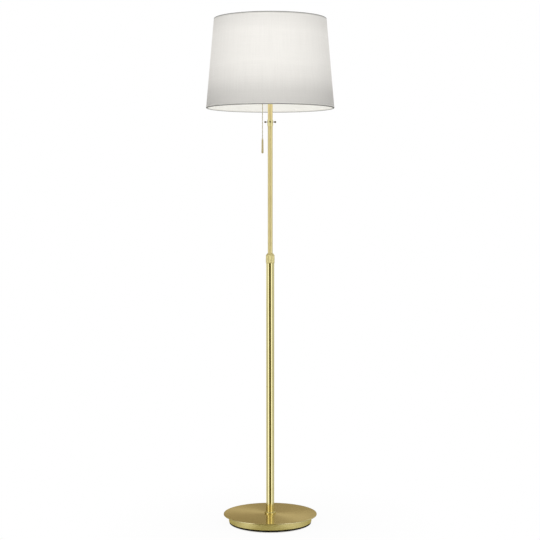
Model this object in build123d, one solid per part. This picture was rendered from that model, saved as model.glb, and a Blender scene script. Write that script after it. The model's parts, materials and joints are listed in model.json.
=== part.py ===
from build123d import *
from math import sqrt
import os

# Adjustable floor lamp: round weighted base, two-piece pole, telescopic rod
# held by a twist-lock, and a turning head with a pull-chain lampholder and a
# tapered fabric shade. Millimetres, floor at z = 0, +Z up, +X to the right
# and the front towards -Y.

# Fits
RUN = 0.03          # radial clearance of a running fit
SNUG = 0.05         # radial gap between fixed pieces that nest
CLEAR = 0.3         # radial gap between round faces that pass each other

# Base
DISC_D = 294.0      # overhanging top disc
DISC_TOP = 29.5
DISC_SHEET = 1.5
DISC_LIP = 3.0      # turned-down rim of the disc
SKIRT_D = 261.0
SKIRT_SHEET = 1.2
FOOT_D = 258.0
FOOT_H = 5.2
PLATE_T = 1.5
NUT_RECESS_D = 44.0
NUT_RECESS_TOP = 20.5
WEIGHT_BOTTOM = 13.5
INLET_Z = 13.0      # height of the cord inlet at the back
INLET_BORE = 7.0

# Pole
POLE_D = 25.0
POLE_WALL = 1.0
POLE_JOINT_Z = 432.5
POLE_TOP = 821.5
FOOT_COLLAR_D = 35.0   # stepped collar round the pole's foot
FOOT_COLLAR_H = 5.5
NIPPLE_D = 10.0
NIPPLE_BORE = 7.0

# Twist-lock
RING_D = 27.5
RING_BOTTOM = 822.0
RING_TOP = 852.0
RING_CONE = 6.5     # height of the bevelled top
KNURL_COLUMNS = 32
KNURL_ROWS = 12
KNURL_DEPTH = 0.45
SEAT_D = 21.0       # threaded seat that the ring turns on
SEAT_TOP = 838.5
COLLET_TOP = 847.5
COLLET_SLOTS = 4

# Telescopic rod
ROD_D = 15.0
ROD_WALL = 1.0
ROD_BOTTOM = 605.5
ROD_TOP = 1265.5
STOP_D = 20.0
STOP_H = 25.0

# Head collar and its four thumbscrews
COLLAR_D = 17.5
COLLAR_BOTTOM = 1249.0
COLLAR_TOP = 1269.0
SCREW_Z = 1261.8
SCREW_STEM_D = 2.0
SCREW_HEAD_D = 5.6
SCREW_HEAD_IN = 12.6   # radius at which the head starts
SCREW_HEAD_OUT = 18.2
SCREW_TURNS = {"front": -90, "right": 0, "back": 90, "left": 180}

# Lampholder
HOLDER_BOTTOM = 1359.5
CAP_TOP = HOLDER_BOTTOM + 30
CAP_R = 20.5
SHELL_TOP = HOLDER_BOTTOM + 74
SHELL_R = 19.9
SCREW_SHELL_R = 14.2
SHADE_NUT_R = 26.0
FITTER_Z = HOLDER_BOTTOM + 54
FITTER_T = 1.5
FITTER_R = 31.0

# Bulb
BULB_CAP_R = 13.2
GLOBE_R = 30.0
GLOBE_Z = HOLDER_BOTTOM + 122

# Pull chain
CHAIN_X = -24.1
NOZZLE_MOUTH = HOLDER_BOTTOM + 7
BEAD_D = 3.2
BEAD_PITCH = 4.0
CHAIN_WIRE_D = 0.9
SPRING_PITCH = 1.6
SPRING_TURNS = 4
CHAIN_TOP_BEAD = NOZZLE_MOUTH - 6
BELL_TOP = 1210.5
BELL_BOTTOM = 1164.5
BELL_D = 6.4

# Shade
SHADE_BOTTOM_D = 400.0
SHADE_TOP_D = 350.0
SHADE_BOTTOM = 1303.5
SHADE_TOP = 1581.5
FABRIC_T = 0.8
LINER_T = 0.7
WIRE_R = 1.75
HEM_R = 2.4
ARM_ANGLES = (90, 210, 330)


def turned(*points, round_at=None, radius=0.0):
    """Solid of revolution from a half-section given as (radius, height) points."""
    section = make_face(Polyline(*points, close=True))
    for corner in round_at or ():
        spot = Vector(corner[0], corner[1], 0)
        nearest = section.vertices().sort_by_distance(spot)[0]
        section = fillet(nearest, radius)
    return revolve(Plane.XZ * section, Axis.Z)


def tube(outer_r, inner_r, bottom, top, bevel=0.0):
    """Plain round tube, bevelled on its outer edges if asked."""
    if bevel:
        return turned(
            (inner_r, bottom),
            (outer_r - bevel, bottom),
            (outer_r, bottom + bevel),
            (outer_r, top - bevel),
            (outer_r - bevel, top),
            (inner_r, top),
        )
    return turned((inner_r, bottom), (outer_r, bottom), (outer_r, top), (inner_r, top))


def shade_r(z):
    """Outer radius of the shade at a height."""
    share = (z - SHADE_BOTTOM) / (SHADE_TOP - SHADE_BOTTOM)
    return (SHADE_BOTTOM_D + share * (SHADE_TOP_D - SHADE_BOTTOM_D)) / 2


parts = {}

# Base: foot ring, closing plate, cast weight, skirt and top disc
foot_r = FOOT_D / 2
skirt_r = SKIRT_D / 2
skirt_in = skirt_r - SKIRT_SHEET
disc_r = DISC_D / 2
disc_under = DISC_TOP - DISC_SHEET
plate_top = FOOT_H + PLATE_T
weight_top = disc_under - SKIRT_SHEET

parts["base_foot_ring"] = turned(
    (foot_r - 11, 0), (foot_r - 0.8, 0), (foot_r, 0.8), (foot_r, FOOT_H), (foot_r - 11, FOOT_H)
)
parts["base_bottom_plate"] = tube(skirt_in - 0.4, NUT_RECESS_D / 2 + 1, FOOT_H, plate_top)

weight = turned(
    (NIPPLE_D / 2 + CLEAR, WEIGHT_BOTTOM),
    (skirt_in - 2.6, WEIGHT_BOTTOM),
    (skirt_in - 0.6, WEIGHT_BOTTOM + 2),
    (skirt_in - 0.6, weight_top - 2),
    (skirt_in - 2.6, weight_top),
    (NIPPLE_D / 2 + CLEAR, weight_top),
)
weight -= tube(NUT_RECESS_D / 2, 1, WEIGHT_BOTTOM - 1, NUT_RECESS_TOP)
weight -= Pos(0, 70, WEIGHT_BOTTOM + 3) * Box(12, 140, 8)
parts["base_weight"] = weight

inlet = Pos(0, skirt_r, INLET_Z) * Rot(-90, 0, 0)
skirt = turned(
    (skirt_in, FOOT_H),
    (skirt_r, FOOT_H),
    (skirt_r, disc_under),
    (skirt_r - 14, disc_under),
    (skirt_r - 14, weight_top),
    (skirt_in, weight_top),
    round_at=[(skirt_r, disc_under), (skirt_r, FOOT_H)],
    radius=1.1,
)
skirt -= inlet * Cylinder(INLET_BORE / 2 + 1.5 + SNUG, 10)
parts["base_skirt"] = skirt

parts["base_disc"] = turned(
    (NIPPLE_D / 2 + CLEAR, disc_under),
    (disc_r - DISC_SHEET, disc_under),
    (disc_r - DISC_SHEET, DISC_TOP - DISC_LIP),
    (disc_r, DISC_TOP - DISC_LIP),
    (disc_r, DISC_TOP),
    (NIPPLE_D / 2 + CLEAR, DISC_TOP),
    round_at=[(disc_r, DISC_TOP)],
    radius=1.2,
)

# Cord inlet bush: a flanged sleeve through the back of the skirt
bush_r = INLET_BORE / 2
bush = turned(
    (bush_r, -9),
    (bush_r + 1.5, -9),
    (bush_r + 1.5, 0.1),
    (bush_r + 3, 0.1),
    (bush_r + 3, 2),
    (bush_r, 2),
    round_at=[(bush_r + 3, 2)],
    radius=0.9,
)
parts["cord_inlet_bush"] = inlet * bush

# Hollow threaded rod, washer and nut that draw the base to the pole
nipple_r = NIPPLE_D / 2
parts["base_nipple"] = tube(nipple_r, NIPPLE_BORE / 2, NUT_RECESS_TOP - 8, 52, bevel=0.6)
parts["base_washer"] = tube(15, nipple_r + SNUG, NUT_RECESS_TOP - 2, NUT_RECESS_TOP)
nut_flat = extrude(RegularPolygon(17 / sqrt(3), 6) - Circle(nipple_r + SNUG), 5)
parts["base_nut"] = Pos(0, 0, NUT_RECESS_TOP - 7) * nut_flat

# Pole: foot collar, foot plug, two tubes and the sleeve that couples them
pole_r = POLE_D / 2
pole_in = pole_r - POLE_WALL
collar_r = FOOT_COLLAR_D / 2
collar_z = DISC_TOP + FOOT_COLLAR_H
parts["pole_foot_collar"] = turned(
    (pole_r + SNUG, DISC_TOP),
    (collar_r, DISC_TOP),
    (collar_r, DISC_TOP + 3.0),
    (collar_r - 0.7, DISC_TOP + 3.7),
    (pole_r + 1.4, collar_z - 1),
    (pole_r + 0.9, collar_z),
    (pole_r + SNUG, collar_z),
)
parts["pole_foot_plug"] = tube(pole_in - SNUG, nipple_r + SNUG, DISC_TOP, 54)
parts["lower_pole"] = tube(pole_r, pole_in, DISC_TOP, POLE_JOINT_Z, bevel=0.4)
parts["upper_pole"] = tube(pole_r, pole_in, POLE_JOINT_Z, POLE_TOP, bevel=0.4)
parts["pole_coupler"] = tube(pole_in - SNUG, STOP_D / 2 + CLEAR, POLE_JOINT_Z - 28, POLE_JOINT_Z + 28)

# Twist-lock: threaded seat in the pole's mouth, split collet and turning ring
rod_r = ROD_D / 2
seat_r = SEAT_D / 2
parts["clamp_seat"] = turned(
    (rod_r + RUN, POLE_TOP - 34),
    (pole_in - SNUG, POLE_TOP - 34),
    (pole_in - SNUG, POLE_TOP),
    (seat_r, POLE_TOP),
    (seat_r, SEAT_TOP),
    (rod_r + RUN, SEAT_TOP),
)

cone_foot = SEAT_TOP + 3
cone_tip_r = rod_r + 1.4
collet = turned(
    (rod_r + RUN, SEAT_TOP),
    (seat_r - CLEAR, SEAT_TOP),
    (seat_r - CLEAR, cone_foot),
    (cone_tip_r, COLLET_TOP),
    (rod_r + RUN, COLLET_TOP),
)
slot = Pos(seat_r - 2, 0, (cone_foot + COLLET_TOP) / 2) * Box(8, 1.2, COLLET_TOP - cone_foot)
for turn in range(COLLET_SLOTS):
    collet -= Rot(0, 0, 45 + 360 / COLLET_SLOTS * turn) * slot
parts["clamp_collet"] = collet

ring_r = RING_D / 2
ring_core_r = ring_r - KNURL_DEPTH - 0.3
ring_shoulder = RING_TOP - RING_CONE
ring = turned(
    (seat_r + RUN, RING_BOTTOM),
    (ring_r - 0.7, RING_BOTTOM),
    (ring_r, RING_BOTTOM + 0.7),
    (ring_r, RING_BOTTOM + 1.2),
    (ring_core_r, RING_BOTTOM + 1.2),
    (ring_core_r, ring_shoulder - 0.6),
    (ring_r, ring_shoulder - 0.6),
    (ring_r, ring_shoulder),
    (rod_r + 1.6, RING_TOP),
    (rod_r + CLEAR, RING_TOP),
    (rod_r + CLEAR, COLLET_TOP + CLEAR),
    (cone_tip_r + CLEAR, COLLET_TOP + CLEAR),
    (seat_r + RUN, cone_foot),
)


def knurled_band(crest_r, root_r, low, high):
    """Closed band of raised diamonds: crests and roots alternate on a ring grid."""
    step = 180 / KNURL_COLUMNS
    rise = (high - low) / KNURL_ROWS

    def spot(column, row):
        radius = crest_r if (column + row) % 2 else root_r
        return Vector(radius, 0, 0).rotate(Axis.Z, column * step) + Vector(0, 0, low + row * rise)

    facets = []
    for row in range(KNURL_ROWS + 1):
        for column in range(row % 2 + 1, 2 * KNURL_COLUMNS + row % 2, 2):
            crest = spot(column, row)
            sides = [spot(column + 1, row), spot(column - 1, row)]
            for end in (row - 1, row + 1):
                if 0 <= end <= KNURL_ROWS:
                    for side in sides:
                        facets.append(Face(Wire.make_polygon([crest, side, spot(column, end)])))
    for row in (0, KNURL_ROWS):
        rim = [spot(column, row) for column in range(2 * KNURL_COLUMNS)]
        facets.append(Face(Wire.make_polygon(rim)))
    return Solid(Shell(facets))


band = knurled_band(ring_r, ring_r - KNURL_DEPTH, RING_BOTTOM + 1.2, ring_shoulder - 0.6)
band -= Pos(0, 0, RING_TOP / 2) * Cylinder(ring_core_r, RING_TOP + 2)
parts["clamp_ring"] = ring + band

# Telescopic rod with its stop bush below and a hollow spigot on top
rod_in = rod_r - ROD_WALL
parts["telescopic_rod"] = tube(rod_r, rod_in, ROD_BOTTOM, ROD_TOP, bevel=0.3)
parts["rod_stop_bush"] = turned(
    (rod_in, ROD_BOTTOM - 2),
    (STOP_D / 2 - 0.8, ROD_BOTTOM - 2),
    (STOP_D / 2, ROD_BOTTOM - 1.2),
    (STOP_D / 2, ROD_BOTTOM + STOP_H - 0.8),
    (STOP_D / 2 - 0.8, ROD_BOTTOM + STOP_H),
    (rod_r + SNUG, ROD_BOTTOM + STOP_H),
    (rod_r + SNUG, ROD_BOTTOM),
    (rod_in, ROD_BOTTOM),
)
parts["rod_spigot"] = tube(rod_in - SNUG, 4.5, ROD_TOP - 22, ROD_TOP + 22, bevel=0.5)

# Head collar that turns on the rod, with the head tube standing in it
head_foot = ROD_TOP + CLEAR
collar = turned(
    (rod_r + RUN, COLLAR_BOTTOM),
    (COLLAR_D / 2 - 0.5, COLLAR_BOTTOM),
    (COLLAR_D / 2, COLLAR_BOTTOM + 0.5),
    (COLLAR_D / 2, COLLAR_TOP - 0.5),
    (COLLAR_D / 2 - 0.5, COLLAR_TOP),
    (rod_r + RUN, COLLAR_TOP),
)
stem_r = SCREW_STEM_D / 2
for turn in SCREW_TURNS.values():
    hole = Pos(COLLAR_D / 2, 0, SCREW_Z) * Rot(0, 90, 0) * Cylinder(stem_r + RUN, 6)
    collar -= Rot(0, 0, turn) * hole
parts["head_collar"] = collar
parts["head_tube"] = tube(rod_r, rod_in, head_foot, HOLDER_BOTTOM)
parts["head_tube_plug"] = tube(rod_in - SNUG, nipple_r + SNUG, HOLDER_BOTTOM - 20, HOLDER_BOTTOM)
parts["holder_nipple"] = tube(nipple_r, NIPPLE_BORE / 2, HOLDER_BOTTOM - 18, HOLDER_BOTTOM + 11)

# Thumbscrew: slim stem, neck and a fluted head with a bevelled face
head_r = SCREW_HEAD_D / 2
screw = turned(
    (0, rod_r + RUN),
    (stem_r - 0.4, rod_r + RUN),
    (stem_r, rod_r + RUN + 0.4),
    (stem_r, SCREW_HEAD_IN),
    (head_r - 0.3, SCREW_HEAD_IN),
    (head_r, SCREW_HEAD_IN + 0.3),
    (head_r, SCREW_HEAD_OUT - 0.5),
    (head_r - 0.5, SCREW_HEAD_OUT),
    (0, SCREW_HEAD_OUT),
)
flute_mid = (SCREW_HEAD_IN + SCREW_HEAD_OUT) / 2
for flute in range(12):
    notch = Pos(head_r + 0.15, 0, flute_mid) * Cylinder(0.4, 6)
    screw -= Rot(0, 0, 30 * flute) * notch
for side, turn in SCREW_TURNS.items():
    parts["thumbscrew_" + side] = Pos(0, 0, SCREW_Z) * Rot(0, 0, turn) * Rot(0, 90, 0) * screw

# Lampholder: domed cap with the chain boss, switch block, shell and contacts
boss_r = 4.8
boss_bore = 3.2
cap = turned(
    (nipple_r + SNUG, HOLDER_BOTTOM),
    (9.5, HOLDER_BOTTOM),
    (9.5, HOLDER_BOTTOM + 5),
    (CAP_R, HOLDER_BOTTOM + 12),
    (CAP_R, CAP_TOP),
    (CAP_R - 2, CAP_TOP),
    (CAP_R - 2, HOLDER_BOTTOM + 14),
    (8.5, HOLDER_BOTTOM + 6),
    (nipple_r + SNUG, HOLDER_BOTTOM + 6),
    round_at=[(CAP_R, HOLDER_BOTTOM + 12)],
    radius=7.0,
)
boss_low = NOZZLE_MOUTH + 4
boss = Pos(CHAIN_X, 0, (boss_low + CAP_TOP) / 2) * Cylinder(boss_r, CAP_TOP - boss_low)
boss += Pos(CHAIN_X + 3, 0, (boss_low + 5 + CAP_TOP) / 2) * Box(6, 6.4, CAP_TOP - boss_low - 5)
cap += boss - Cylinder(CAP_R - 1, 3000)
cap -= Pos(CHAIN_X, 0, boss_low + 8) * Cylinder(boss_bore, 16)
parts["holder_cap"] = cap

parts["switch_block"] = tube(CAP_R - 3, nipple_r + 1, HOLDER_BOTTOM + 16, CAP_TOP - 0.5, bevel=1.0)

parts["chain_nozzle"] = Pos(CHAIN_X, 0, 0) * turned(
    (BEAD_D / 2 + 0.9, NOZZLE_MOUTH),
    (boss_r - 0.6, NOZZLE_MOUTH),
    (boss_r - 0.6, boss_low),
    (boss_bore - SNUG, boss_low),
    (boss_bore - SNUG, boss_low + 4),
    (BEAD_D / 2 + 0.5, boss_low + 4),
    (BEAD_D / 2 + 0.5, NOZZLE_MOUTH + 1),
)

shell = turned(
    (SCREW_SHELL_R + SNUG, CAP_TOP),
    (CAP_R, CAP_TOP),
    (CAP_R, CAP_TOP + 6),
    (SHELL_R, CAP_TOP + 6.5),
    (SHELL_R, SHELL_TOP - 1),
    (SHELL_R - 1, SHELL_TOP),
    (SCREW_SHELL_R + SNUG, SHELL_TOP),
)
parts["holder_shell"] = shell

block_top = CAP_TOP + 12
parts["contact_block"] = turned(
    (0, CAP_TOP),
    (SCREW_SHELL_R - SNUG, CAP_TOP),
    (SCREW_SHELL_R - SNUG, block_top),
    (0, block_top),
)
parts["screw_shell"] = tube(SCREW_SHELL_R, BULB_CAP_R + CLEAR, block_top, SHELL_TOP - 3)
tongue = Polyline(
    (-10, block_top),
    (-4, block_top),
    (-1, block_top + 2.5),
    (3, block_top + 2.5),
    (3, block_top + 3.0),
    (-1.25, block_top + 3.0),
    (-4.25, block_top + 0.5),
    (-10, block_top + 0.5),
    close=True,
)
parts["centre_contact"] = extrude(Plane.XZ * make_face(tongue), 2.5, both=True)

# Two threaded nuts that hold the shade's fitter ring on the shell
nut_outline = Circle(SHADE_NUT_R) - Circle(SHELL_R + SNUG)
for notch in range(10):
    nut_outline -= Rot(0, 0, 36 * notch) * Pos(SHADE_NUT_R + 1.2, 0) * Circle(2.4)
shade_nut = extrude(nut_outline, 4)
parts["shade_nut_lower"] = Pos(0, 0, FITTER_Z - 4) * shade_nut
parts["shade_nut_upper"] = Pos(0, 0, FITTER_Z + FITTER_T) * shade_nut

# Bulb: screw cap with its tip, and a pear-shaped opal globe
tip_z = block_top + 3.1
globe_foot = tip_z + 27
parts["bulb_cap"] = turned(
    (0, tip_z),
    (4.5, tip_z),
    (5.5, tip_z + 1.5),
    (BULB_CAP_R, tip_z + 5.5),
    (BULB_CAP_R, globe_foot),
    (0, globe_foot),
)
globe_arc = CenterArc((0, GLOBE_Z), GLOBE_R, -40, 130)
neck_top = (BULB_CAP_R + 0.6, globe_foot + 5)
neck = TangentArc(globe_arc @ 0, neck_top, tangent=-(globe_arc % 0))
foot_line = Polyline(neck_top, (BULB_CAP_R + 0.6, globe_foot), (0, globe_foot), globe_arc @ 1)
globe = make_face([globe_arc, neck, foot_line])
parts["bulb_globe"] = revolve(Plane.XZ * globe, Axis.Z)

# Pull switch: sprung plunger, bead chain and its turned bell
plunger_head = boss_low + 13
parts["pull_plunger"] = Pos(CHAIN_X, 0, 0) * turned(
    (0, CHAIN_TOP_BEAD + 1.6),
    (0.6, CHAIN_TOP_BEAD + 1.6),
    (1.1, CHAIN_TOP_BEAD + 2.6),
    (1.1, plunger_head),
    (boss_bore - CLEAR, plunger_head),
    (boss_bore - CLEAR, plunger_head + 1.5),
    (0, plunger_head + 1.5),
)
spring_low = boss_low + 4.6
spring_path = Helix(pitch=SPRING_PITCH, height=SPRING_PITCH * SPRING_TURNS, radius=2.2)
spring_end = Plane(origin=spring_path @ 0, z_dir=spring_path % 0)
spring = sweep(spring_end * Rectangle(0.5, 0.5), path=spring_path)
parts["plunger_spring"] = Pos(CHAIN_X, 0, spring_low) * spring

bead_r = BEAD_D / 2
link_r = CHAIN_WIRE_D / 2
half = sqrt(bead_r**2 - link_r**2)
bead_count = int((CHAIN_TOP_BEAD - BELL_TOP) / BEAD_PITCH) + 1
outline = Line((0, CHAIN_TOP_BEAD + half), (link_r, CHAIN_TOP_BEAD + half))
low = CHAIN_TOP_BEAD + half
for bead in range(bead_count):
    mid = CHAIN_TOP_BEAD - BEAD_PITCH * bead
    if bead:
        outline += Line((link_r, low), (link_r, mid + half))
    low = mid - half
    outline += ThreePointArc((link_r, mid + half), (bead_r, mid), (link_r, low))
last_bead = CHAIN_TOP_BEAD - BEAD_PITCH * (bead_count - 1)
outline += Polyline((link_r, low), (0, low), (0, CHAIN_TOP_BEAD + half))
parts["pull_chain"] = Pos(CHAIN_X, 0, 0) * revolve(Plane.XZ * make_face(outline), Axis.Z)

bell_r = BELL_D / 2
bell_top = last_bead - bead_r - 0.1
parts["pull_bell"] = Pos(CHAIN_X, 0, 0) * turned(
    (0, bell_top),
    (1.3, bell_top),
    (2.0, bell_top - 1.0),
    (2.0, bell_top - 3.0),
    (2.6, bell_top - 4.0),
    (bell_r - 0.3, bell_top - 12),
    (bell_r, BELL_BOTTOM + 8),
    (bell_r, BELL_BOTTOM + 1.2),
    (bell_r - 1.4, BELL_BOTTOM),
    (0, BELL_BOTTOM),
)

# Shade: wire rings in their hems, liner, fabric and the spider that carries it
low_ring_z = SHADE_BOTTOM + HEM_R
top_ring_z = SHADE_TOP - HEM_R
low_ring_r = shade_r(low_ring_z) - HEM_R
top_ring_r = shade_r(top_ring_z) - HEM_R


def wire_ring(ring_r, ring_z, outer_r, inner_r=0.0):
    """Round wire hoop, or the sleeve round one."""
    section = Circle(outer_r)
    if inner_r:
        section -= Circle(inner_r)
    return revolve(Plane.XZ * Pos(ring_r, ring_z) * section, Axis.Z)


parts["shade_bottom_ring"] = wire_ring(low_ring_r, low_ring_z, WIRE_R)
parts["shade_top_ring"] = wire_ring(top_ring_r, top_ring_z, WIRE_R)

fitter_mid = FITTER_Z + FITTER_T / 2
fitter = tube(FITTER_R, SHELL_R + CLEAR, FITTER_Z, FITTER_Z + FITTER_T)
parts["shade_fitter_ring"] = fitter

arm_path = Plane.XZ * FilletPolyline(
    (FITTER_R - 1.8, fitter_mid),
    (FITTER_R + 14, fitter_mid),
    (low_ring_r - 12, low_ring_z + 3.5),
    (low_ring_r - 0.5, low_ring_z + 0.3),
    radius=10,
)
arm_end = Plane(origin=arm_path @ 0, z_dir=arm_path % 0)
arm = sweep(arm_end * Circle(WIRE_R), path=arm_path)
arm_tip = Plane(origin=arm_path @ 1, z_dir=arm_path % 1)
arm_room = arm_tip * Pos(0, 0, -5) * Cylinder(WIRE_R + 0.15, 10)
arm = arm - fitter - parts["shade_bottom_ring"]
parts["spider_arms"] = Compound([Rot(0, 0, angle) * arm for angle in ARM_ANGLES])

top_hem = wire_ring(top_ring_r, top_ring_z, HEM_R, WIRE_R + SNUG)
low_hem = wire_ring(low_ring_r, low_ring_z, HEM_R, WIRE_R + SNUG)
for angle in ARM_ANGLES:
    low_hem -= Rot(0, 0, angle) * arm_room
parts["shade_top_hem"] = top_hem
parts["shade_bottom_hem"] = low_hem

skin_low = low_ring_z + HEM_R + 0.1
skin_high = top_ring_z - HEM_R - 0.1


def shade_skin(inset, thickness):
    """Tapered sheet that follows the shade's outer face at an inset."""
    return turned(
        (shade_r(skin_low) - inset, skin_low),
        (shade_r(skin_high) - inset, skin_high),
        (shade_r(skin_high) - inset - thickness, skin_high),
        (shade_r(skin_low) - inset - thickness, skin_low),
    )


parts["shade_fabric"] = shade_skin(0.1, FABRIC_T)
parts["shade_liner"] = shade_skin(0.1 + FABRIC_T + 0.1, LINER_T)

os.makedirs("parts", exist_ok=True)
for name, shape in parts.items():
    export_step(shape, "parts/" + name + ".step")
print(len(parts), "sub-parts;", bead_count, "beads; bell top at", round(bell_top, 2))
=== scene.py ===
import json
import math
import bpy
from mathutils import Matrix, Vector


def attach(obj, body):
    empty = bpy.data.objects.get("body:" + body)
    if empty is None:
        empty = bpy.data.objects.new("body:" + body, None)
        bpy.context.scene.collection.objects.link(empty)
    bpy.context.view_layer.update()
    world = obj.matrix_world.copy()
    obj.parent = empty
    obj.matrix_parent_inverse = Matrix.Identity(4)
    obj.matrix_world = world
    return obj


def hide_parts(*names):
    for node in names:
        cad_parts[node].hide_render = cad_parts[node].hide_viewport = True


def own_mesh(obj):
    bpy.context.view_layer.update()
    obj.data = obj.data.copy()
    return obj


# Adjustable floor lamp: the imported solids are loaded, the turned brass, the
# shade, the bead chain and the lampholder's thread are modelled over them,
# and the lamp is lit and seen as in the photograph. Sizes and profiles are in
# millimetres, everything in Blender is in metres. A profile is a list of
# (radius, height) points.

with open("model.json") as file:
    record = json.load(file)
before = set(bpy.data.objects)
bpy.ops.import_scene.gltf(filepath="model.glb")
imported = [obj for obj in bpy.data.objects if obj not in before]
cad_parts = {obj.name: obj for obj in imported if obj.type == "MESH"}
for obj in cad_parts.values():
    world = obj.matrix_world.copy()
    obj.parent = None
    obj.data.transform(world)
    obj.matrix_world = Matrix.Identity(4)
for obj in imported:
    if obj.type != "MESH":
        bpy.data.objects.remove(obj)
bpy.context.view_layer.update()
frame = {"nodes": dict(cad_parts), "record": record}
nodes = frame["nodes"]
MM = 0.001

# Corners that are nearer than this, in metres, become one
MERGE_DISTANCE = 2e-6

# Sizes of the base
DISC_R = 147.0
DISC_TOP = 29.5
DISC_WALL = 1.5
DISC_ROUND = 1.2
DISC_HOLE_R = 5.3
DISC_MID_R = 60.0
RIM_H = 3.0
RIM_ROUND = 0.4
SKIRT_R = 130.5
SKIRT_IN = 129.3
SKIRT_TOP = 28.0
SKIRT_WALL = 1.2
SKIRT_SHELF = 14.0
SKIRT_ROUND = 1.1
EDGE_RING_R = 129.0
EDGE_RING_H = 5.2
EDGE_RING_WIDTH = 11.0
EDGE_RING_ROUND = 0.8
INLET_Z = 13.0
INLET_HOLE_R = 5.05
INLET_HOLE_LENGTH = 12.0

# Sizes of the pole, the rod and the head's stem
POLE_R = 12.5
POLE_JOINT = 432.5
POLE_TOP = 821.5
TUBE_WALL = 1.0
FOOT_COLLAR_R = 17.5
FOOT_COLLAR_H = 5.5
FOOT_COLLAR_EASE = 0.2
FOOT_COLLAR_ROUND = 0.7
FOOT_COLLAR_ROUND_Z = 3.0
FOOT_COLLAR_BORE_R = POLE_R + 0.05
FOOT_COLLAR_NECK = [(14.6, 4.1), (14.0, 4.35), (13.6, 4.8), (13.4, FOOT_COLLAR_H)]
ROD_R = 7.5
ROD_LOW = 605.5
ROD_HIGH = 1265.5
STEM_GAP = 0.3

# Sizes of the lampholder and the bulb
HOLDER_LOW = 1359.5
SHELL_LOW = HOLDER_LOW + 30
SHELL_HIGH = HOLDER_LOW + 74
SHELL_R = 19.9
SHELL_BORE_R = 14.25
THREAD_PITCH = 2.5
THREAD_DEPTH = 0.6
THREAD_R = SHELL_R - THREAD_DEPTH
THREAD_TURNS = 13
THREAD_START = SHELL_LOW + 7.6
THREAD_RIDGE = [(0, 0), (THREAD_DEPTH, 0.8), (THREAD_DEPTH, 1.3), (0, 2.1), (0, THREAD_PITCH)]
SHELL_COLLAR = [(20.1, 0.0), (20.5, 0.4), (20.5, 5.6), (20.1, 6.2)]
SHELL_COLLAR += [(SHELL_R, 6.6), (SHELL_R, 7.4), (THREAD_R, 8.2)]
GLOBE_LOW = HOLDER_LOW + 71.9
GLOBE_MID = HOLDER_LOW + 122
GLOBE_R = 30.0
GLOBE_NECK = [(13.8, 0.0), (13.8, 5.6), (14.6, 11.1), (16.6, 17.6), (19.4, 23.6), (22.98, 30.82)]
GLOW_LOW = HOLDER_LOW + 72
GLOW_H = 80.0

# Sizes of the pull chain, its bell and the spring round its plunger
CHAIN_X = -24.1
TOP_BEAD = 1360.5
BEAD_PITCH = 4.0
BEADS = 38
BEAD_R = 1.6
BEAD_REACH = 1.5
LINK_R = 0.45
LINK_LENGTH = 1.2
LOW_BEAD = TOP_BEAD - BEAD_PITCH * (BEADS - 1)
LINE_LEAD = 40.0
BELL_TOP = LOW_BEAD - BEAD_R - 0.1
BELL_LOW = 1164.5
BELL_SHOULDER = [(0.0, 0.0), (1.3, 0.0), (2.0, 1.0), (2.0, 3.0), (2.6, 4.0), (2.78, 8.0), (2.9, 12.0)]
BELL_SKIRT = [(3.05, 20.0), (3.2, 8.0), (3.2, 1.2), (1.8, 0.0), (0.0, 0.0)]
SPRING_LOW = TOP_BEAD + 14.6
SPRING_R = 2.2
SPRING_WIRE_R = 0.25
SPRING_PITCH = 1.6
SPRING_TURNS = 4

# Sizes of the shade
SHADE_LOW = 1303.5
SHADE_HIGH = 1581.5
SHADE_H = SHADE_HIGH - SHADE_LOW
SHADE_LOW_R = 200.0
SHADE_HIGH_R = 175.0
SHADE_TAPER = (SHADE_LOW_R - SHADE_HIGH_R) / SHADE_H
SHADE_MEAN_R = 190.0
HEM_R = 2.4
SKIN_LOW = SHADE_LOW + 2 * HEM_R + 0.1
SKIN_HIGH = SHADE_HIGH - 2 * HEM_R - 0.1
SEAM_START = 91.8
SEAM_SWEEP = 3.6
SEAM_SUNK = 0.15
SEAM_PROUD = 0.3
WIRE_R = 1.75
WIRE_BEND = 10.0
FITTER_Z = HOLDER_LOW + 54.75
FITTER_R = 31.0
ARM_ANGLES = (90, 210, 330)

# Corners of a spider arm: out and up from the fitter ring, then from the lower wire ring
ARM_AT_FITTER = [(-1.8, 0.0), (14.0, 0.0)]
ARM_AT_RING = [(-12.0, 3.5), (-0.5, 0.3)]


def shade_r(z):
    """Outer radius of the shade at a height, in millimetres."""
    share = (z - SHADE_LOW) / SHADE_H
    return SHADE_LOW_R + share * (SHADE_HIGH_R - SHADE_LOW_R)


# Modelling helpers


def deselect():
    """Leaves edit mode and clears the selection."""
    if bpy.context.object and bpy.context.object.mode != "OBJECT":
        bpy.ops.object.mode_set(mode="OBJECT")
    bpy.ops.object.select_all(action="DESELECT")


def pick(piece):
    """Makes one piece the only selected and active one."""
    deselect()
    piece.select_set(True)
    bpy.context.view_layer.objects.active = piece


def arc(mid_r, mid_z, radius, start, end, count):
    """Points of an arc in the half-section, from one angle to another."""
    points = []
    for step in range(count + 1):
        turn = math.radians(start + (end - start) * step / count)
        points.append((mid_r + radius * math.cos(turn), mid_z + radius * math.sin(turn)))
    return points


def start_point(name, place):
    """A small plane is merged into one corner, ready to be drawn out in edit mode."""
    deselect()
    bpy.ops.mesh.primitive_plane_add(size=0.2 * MM, location=place)
    bpy.ops.object.transform_apply(location=True, rotation=False, scale=False)
    piece = bpy.context.object
    piece.name = name
    bpy.ops.object.mode_set(mode="EDIT")
    bpy.ops.mesh.select_all(action="SELECT")
    bpy.ops.mesh.merge(type="CENTER")
    bpy.ops.mesh.select_all(action="SELECT")
    return piece


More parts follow.
